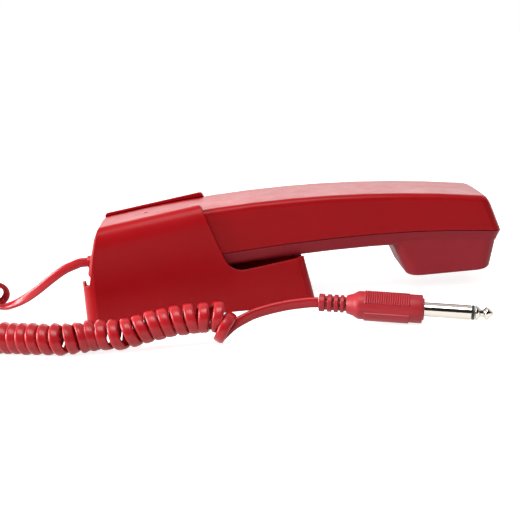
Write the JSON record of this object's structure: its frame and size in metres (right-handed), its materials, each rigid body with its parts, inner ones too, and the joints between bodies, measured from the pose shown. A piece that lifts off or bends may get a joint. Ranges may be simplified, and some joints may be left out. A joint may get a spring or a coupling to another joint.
{
  "type": "wall telephone handset in cradle",
  "caption": "Slim curved telephone handset in a short wall cradle it slides out of, with a curly cord ending in a 6.35 mm jack plug.",
  "frame": {"origin": "on the wall face of the cradle, under the middle of the whole length of cradle and handset, cord left out", "axes": "+X along the handset towards its ear end (up, on the wall), +Z straight out of the wall, +Y across"},
  "size_m": [0.3057, 0.1241, 0.053],
  "materials": {
    "red_shell": "moulded ABS, semi-gloss",
    "red_cord": "soft PVC, satin",
    "nickel": "nickel plated brass",
    "steel": "zinc plated steel",
    "black": "black insulator",
    "foam": "closed-cell foam",
    "cloth": "woven acoustic cloth",
    "boot": "moulded rubber",
    "board": "glass-epoxy laminate",
    "glass": "clear",
    "cream": "nylon",
    "weight": "bare"
  },
  "bodies": {
    "cradle": {"cradle_shell": "red_shell", "wall_plate": "red_shell", "plate_screw_1": "steel", "plate_screw_2": "steel", "plate_screw_3": "steel", "plate_screw_4": "steel", "hook_magnet": "steel", "cord_lead": "red_cord", "cord_coil": "red_cord", "cord_tail": "red_cord", "plug_body": "red_cord", "plug_sleeve": "nickel", "plug_insulator": "black", "plug_tip": "nickel"},
    "handset": {"back_shell": "red_shell", "front_shell": "red_shell", "cord_grommet": "red_cord", "shell_screw_1": "steel", "shell_screw_2": "steel", "receiver_capsule": "steel", "receiver_gasket": "foam", "earpiece_cloth": "cloth", "microphone_capsule": "steel", "microphone_boot": "boot", "circuit_board": "board", "reed_switch": "glass", "cord_terminal": "cream", "balance_weight": "weight"}
  },
  "joints": [
    {"name": "handset_slide", "type": "slide", "parent": "cradle", "child": "handset", "axis": [0.9974, 0, 0.0725], "range_m": [0, 0.11]}
  ]
}
